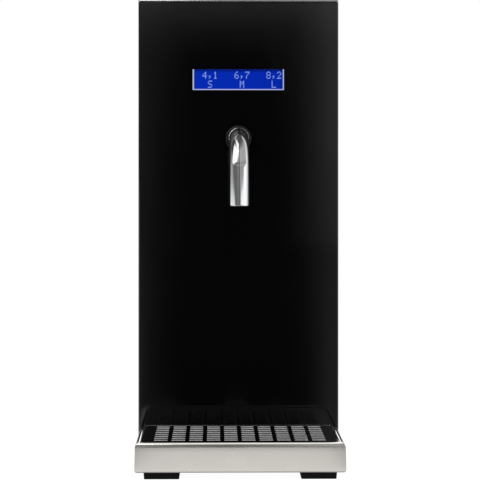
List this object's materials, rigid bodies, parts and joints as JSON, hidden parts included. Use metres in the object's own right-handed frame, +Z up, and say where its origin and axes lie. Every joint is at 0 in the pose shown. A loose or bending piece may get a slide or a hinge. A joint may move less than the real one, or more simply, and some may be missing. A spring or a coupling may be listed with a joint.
{
  "type": "milk dispenser",
  "caption": "Counter-top cooled milk dispenser: glass front with a display, one bent spout over a slotted drip tray, a lidded chamber, a hose pump and a cooling fan.",
  "frame": {"origin": "on the table under the middle of the object's box", "axes": "+X to the right seen from the front, -Y out of the glass front, +Z up"},
  "size_m": [0.22, 0.46, 0.502],
  "materials": {
    "panel_steel": "satin brushed",
    "tray_steel": "fine satin",
    "grille_steel": "polished",
    "spout_steel": "mirror polished",
    "plain_steel": "mill",
    "hinge_steel": "tumbled",
    "guard_wire": "bright plated",
    "black_glass": "back-painted, gloss",
    "clear_lens": "clear",
    "blue_screen": "lit from behind",
    "pale_rim": "smooth",
    "black_plastic": "fine moulded texture",
    "black_rubber": "matt",
    "white_plastic": "smooth",
    "clear_cover": "clear",
    "foam": "rigid foam",
    "silicone_hose": "smooth",
    "circuit_board": "solder mask",
    "brass": "turned",
    "aluminium": "extruded",
    "motor_case": "satin"
  },
  "bodies": {
    "chassis": {"left_side_panel": "panel_steel", "right_side_panel": "panel_steel", "rear_panel": "panel_steel", "base_pan": "panel_steel", "spout_tube": "spout_steel", "suction_lance": "spout_steel", "front_carrier": "plain_steel", "top_deck": "plain_steel", "pump_bracket": "plain_steel", "power_supply": "plain_steel", "hose_clamps": "plain_steel", "hinge_leaf_fixed_left": "hinge_steel", "hinge_leaf_fixed_right": "hinge_steel", "hinge_pins": "hinge_steel", "panel_screws": "hinge_steel", "foot_screws": "hinge_steel", "fan_guard": "guard_wire", "front_glass": "black_glass", "display_lens": "clear_lens", "lcd_screen": "blue_screen", "lcd_bezel": "pale_rim", "spout_collar": "black_plastic", "fan_frame": "black_plastic", "power_inlet": "black_plastic", "rocker_frame": "black_plastic", "rubber_feet": "black_rubber", "spout_seal": "black_rubber", "lid_gasket": "black_rubber", "wall_grommet": "black_rubber", "chamber_liner": "white_plastic", "milk_container": "white_plastic", "pump_housing": "white_plastic", "peltier_module": "white_plastic", "ribbon_cable": "white_plastic", "pump_cover": "clear_cover", "chamber_insulation": "foam", "suction_hose": "silicone_hose", "delivery_hose": "silicone_hose", "pump_tube": "silicone_hose", "lcd_board": "circuit_board", "touch_board": "circuit_board", "control_board": "circuit_board", "board_standoffs": "brass", "spout_nut": "brass", "inlet_pins": "brass", "cold_block": "aluminium", "heat_sink": "aluminium", "pump_motor": "motor_case"},
    "lid": {"lid_plate": "panel_steel", "lid_inner": "white_plastic", "hinge_leaf_moving_left": "hinge_steel", "hinge_leaf_moving_right": "hinge_steel"},
    "tray": {"drip_tray": "tray_steel"},
    "grille": {"drip_grille": "grille_steel"},
    "rotor": {"pump_rotor": "white_plastic"},
    "roller_1": {"pump_roller_1": "white_plastic"},
    "roller_2": {"pump_roller_2": "white_plastic"},
    "roller_3": {"pump_roller_3": "white_plastic"},
    "fan": {"fan_impeller": "black_plastic"},
    "rocker": {"rocker_key": "black_plastic"}
  },
  "joints": [
    {"name": "lid_hinge", "type": "hinge", "parent": "chassis", "child": "lid", "pos_m": [0, 0.226, 0.496], "axis": [-1, 0, 0], "range_deg": [0, 95]},
    {"name": "tray_slide", "type": "slide", "parent": "chassis", "child": "tray", "axis": [0, -1, 0], "range_m": [0, 0.15]},
    {"name": "grille_lift", "type": "slide", "parent": "tray", "child": "grille", "axis": [0, 0, 1], "range_m": [0, 0.06]},
    {"name": "pump_spin", "type": "hinge", "parent": "chassis", "child": "rotor", "pos_m": [0.048, -0.064, 0.235], "axis": [0, 1, 0], "continuous": true},
    {"name": "fan_spin", "type": "hinge", "parent": "chassis", "child": "fan", "pos_m": [0, 0.2076, 0.33], "axis": [0, 1, 0], "continuous": true},
    {"name": "rocker_press", "type": "hinge", "parent": "chassis", "child": "rocker", "pos_m": [-0.03, 0.2206, 0.062], "axis": [-1, 0, 0], "range_deg": [0, 20]},
    {"name": "roller_1_spin", "type": "hinge", "parent": "rotor", "child": "roller_1", "pos_m": [0.048, -0.064, 0.21505], "axis": [0, 1, 0], "continuous": true},
    {"name": "roller_2_spin", "type": "hinge", "parent": "rotor", "child": "roller_2", "pos_m": [0.06528, -0.064, 0.24497], "axis": [0, 1, 0], "continuous": true},
    {"name": "roller_3_spin", "type": "hinge", "parent": "rotor", "child": "roller_3", "pos_m": [0.03072, -0.064, 0.24497], "axis": [0, 1, 0], "continuous": true}
  ],
  "couplings": [
    {"joint": "roller_1_spin", "follows": "pump_spin", "ratio": -3.8929},
    {"joint": "roller_2_spin", "follows": "pump_spin", "ratio": -3.8929},
    {"joint": "roller_3_spin", "follows": "pump_spin", "ratio": -3.8929}
  ]
}
